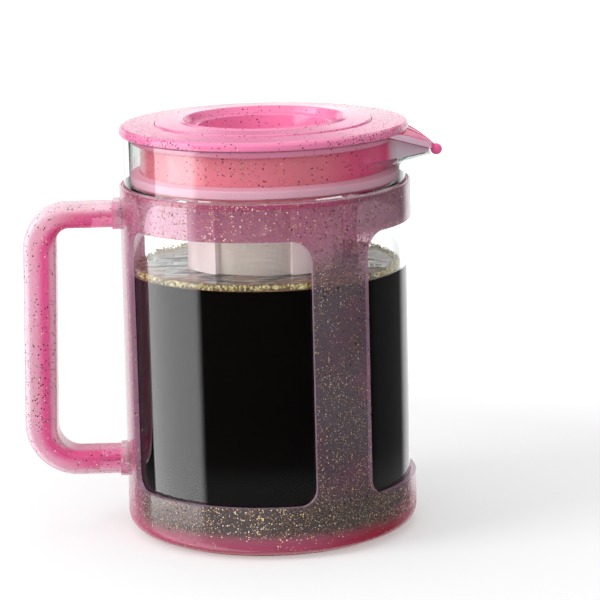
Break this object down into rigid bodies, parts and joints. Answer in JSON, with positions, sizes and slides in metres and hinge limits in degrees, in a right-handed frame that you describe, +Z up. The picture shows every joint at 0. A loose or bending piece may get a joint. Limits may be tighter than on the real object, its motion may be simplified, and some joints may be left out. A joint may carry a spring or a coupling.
{
  "type": "cold brew coffee maker",
  "caption": "Glass cold brew coffee jug in a moulded sleeve with a D handle, a lid with a pouring beak, and a mesh filter under a lift-out cap.",
  "frame": {"origin": "centre of the foot pad's underside, on the jug's axis", "axes": "+Z up along the jug's axis, +X towards the pouring beak, -X towards the handle, +Y completes a right-handed frame"},
  "size_m": [0.1777, 0.1218, 0.1729],
  "materials": {
    "clear_glass": "clear, smooth",
    "sleeve_plastic": "translucent, glossy, with fine gold glitter",
    "handle_plastic": "translucent, glossy, with fine gold glitter",
    "grip_plastic": "translucent, glossy",
    "lid_plastic": "glossy, with sparse gold glitter",
    "skirt_plastic": "glossy, with sparse gold glitter",
    "beak_plastic": "translucent, glossy",
    "filter_plastic": "satin",
    "filter_mesh": "fine woven mesh",
    "pale_silicone": "soft, satin",
    "foot_silicone": "soft, satin",
    "screw_steel": "satin"
  },
  "bodies": {
    "carafe": {"glass_carafe": "clear_glass", "sleeve": "sleeve_plastic", "band_gasket": "pale_silicone", "seat_pad": "pale_silicone", "foot_pad": "foot_silicone", "handle_shell": "handle_plastic", "handle_grip": "grip_plastic", "handle_screws": "screw_steel"},
    "lid": {"lid_top": "lid_plastic", "lid_skirt": "skirt_plastic", "lid_gasket": "pale_silicone", "pouring_beak": "beak_plastic"},
    "filter_cap": {"filter_cap": "lid_plastic", "cap_gasket": "pale_silicone"},
    "filter": {"filter_frame": "filter_plastic", "filter_mesh": "filter_mesh", "filter_gasket": "pale_silicone"},
    "filter_base": {"filter_base": "filter_plastic", "base_gasket": "pale_silicone"}
  },
  "joints": [
    {"name": "lid_lift", "type": "slide", "parent": "carafe", "child": "lid", "axis": [0, 0, 1], "range_m": [0, 0.17]},
    {"name": "cap_lift", "type": "slide", "parent": "lid", "child": "filter_cap", "axis": [0, 0, 1], "range_m": [0, 0.045]},
    {"name": "filter_twist", "type": "hinge", "parent": "lid", "child": "filter", "pos_m": [0, 0, 0.155], "axis": [0, 0, 1], "range_deg": [0, 30]},
    {"name": "filter_base_twist", "type": "hinge", "parent": "filter", "child": "filter_base", "pos_m": [0, 0, 0.025], "axis": [0, 0, 1], "range_deg": [0, 30]}
  ]
}
